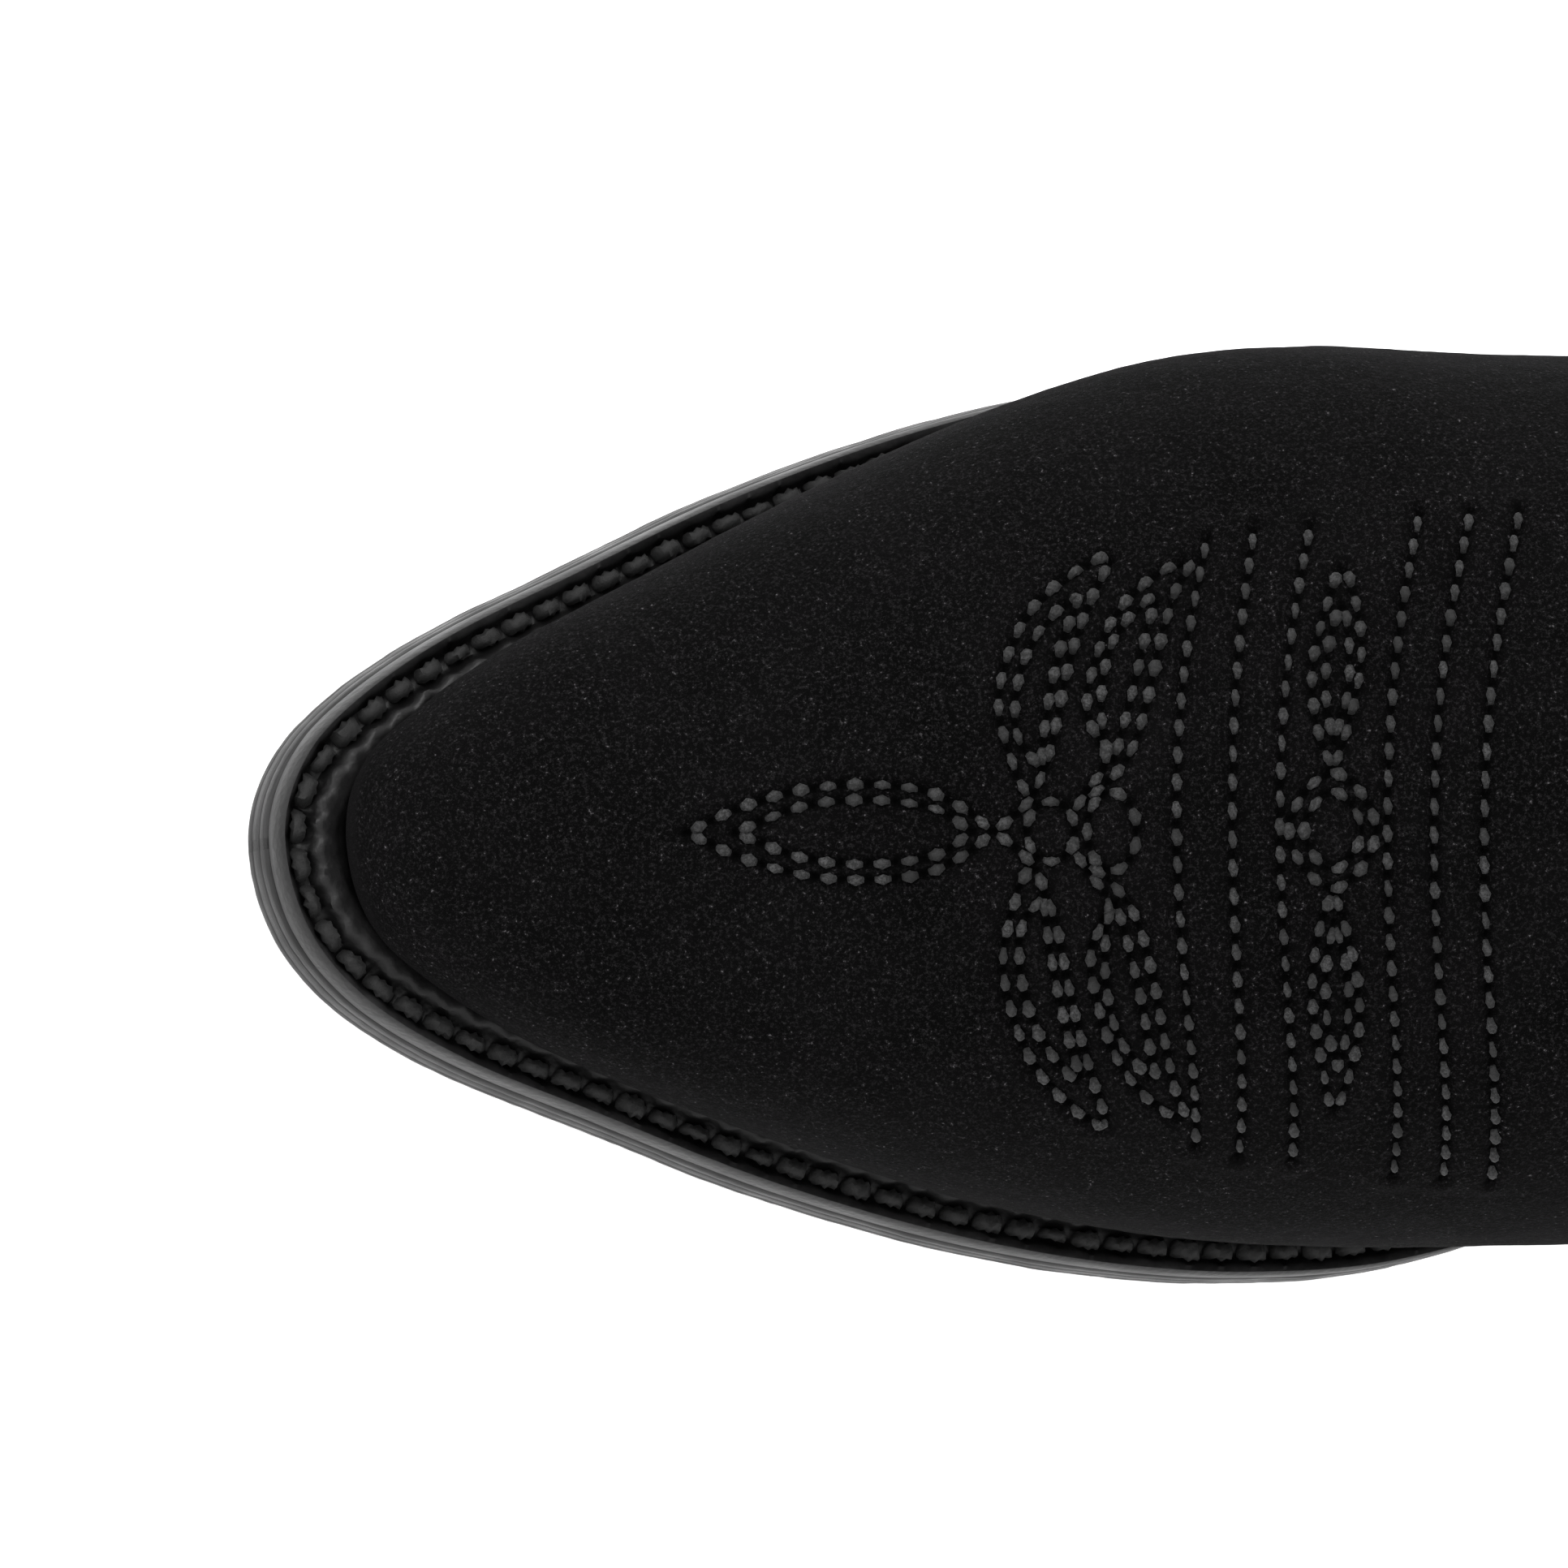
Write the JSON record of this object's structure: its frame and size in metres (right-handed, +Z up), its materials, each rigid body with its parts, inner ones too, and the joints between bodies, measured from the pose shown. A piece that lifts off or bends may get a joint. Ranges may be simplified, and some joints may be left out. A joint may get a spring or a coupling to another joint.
{
  "type": "cowboy boot",
  "caption": "Pull-on western boot for the right foot: pointed welted leather sole, stacked heel, suede vamp and counter, lined shaft with scalloped top and two hinged pull-strap loops.",
  "frame": {"origin": "centre of the heel's walking face, on the ground", "axes": "+Z up along the shaft, -X towards the toe, +Y towards the lateral (outer) side of the right foot"},
  "size_m": [0.2878, 0.1158, 0.3528],
  "materials": {
    "sole_leather": "burnished and waxed leather edge",
    "welt_leather": "smooth waxed leather",
    "cork": "matt granulated cork",
    "spring_steel": "satin",
    "insole_leather": "matt vegetable-tanned leather",
    "sock_leather": "soft matt leather",
    "peg_wood": "matt pale wood",
    "welt_thread": "waxed thread",
    "heel_rubber": "matt rubber",
    "nail_brass": "satin",
    "heel_leather": "burnished stacked leather",
    "black_suede": "napped suede",
    "stiffener": "matt impregnated felt",
    "lining_leather": "smooth matt lining leather",
    "trim_leather": "smooth semi-matt leather",
    "strap_leather": "smooth matt leather strap"
  },
  "bodies": {
    "boot": {"outsole": "sole_leather", "welt": "welt_leather", "heel_rand": "welt_leather", "cork_filler": "cork", "shank": "spring_steel", "insole": "insole_leather", "sock_liner": "sock_leather", "heel_pad": "sock_leather", "sole_pegs": "peg_wood", "welt_stitching": "welt_thread", "heel_cap": "heel_rubber", "heel_nails": "nail_brass", "heel_lift_1": "heel_leather", "heel_lift_2": "heel_leather", "heel_lift_3": "heel_leather", "heel_lift_4": "heel_leather", "heel_lift_5": "heel_leather", "vamp": "black_suede", "toe_puff": "stiffener", "vamp_lining": "lining_leather", "heel_counter": "black_suede", "heel_stiffener": "stiffener", "counter_lining": "lining_leather", "shaft_front": "black_suede", "shaft_back": "black_suede", "shaft_lining_front": "lining_leather", "shaft_lining_back": "lining_leather", "side_piping_lateral": "trim_leather", "side_piping_medial": "trim_leather", "top_binding": "trim_leather", "strap_legs_lateral": "strap_leather", "strap_legs_medial": "strap_leather"},
    "lateral_loop": {"strap_loop_lateral": "strap_leather"},
    "medial_loop": {"strap_loop_medial": "strap_leather"}
  },
  "joints": [
    {"name": "lateral_strap_flop", "type": "hinge", "parent": "boot", "child": "lateral_loop", "pos_m": [-0.0278, 0.048, 0.33], "axis": [1, 0, 0], "range_deg": [-35, 35], "stiffness_Nm_per_rad": 0.012},
    {"name": "medial_strap_flop", "type": "hinge", "parent": "boot", "child": "medial_loop", "pos_m": [-0.0278, -0.0512, 0.33], "axis": [1, 0, 0], "range_deg": [-35, 35], "stiffness_Nm_per_rad": 0.012}
  ]
}
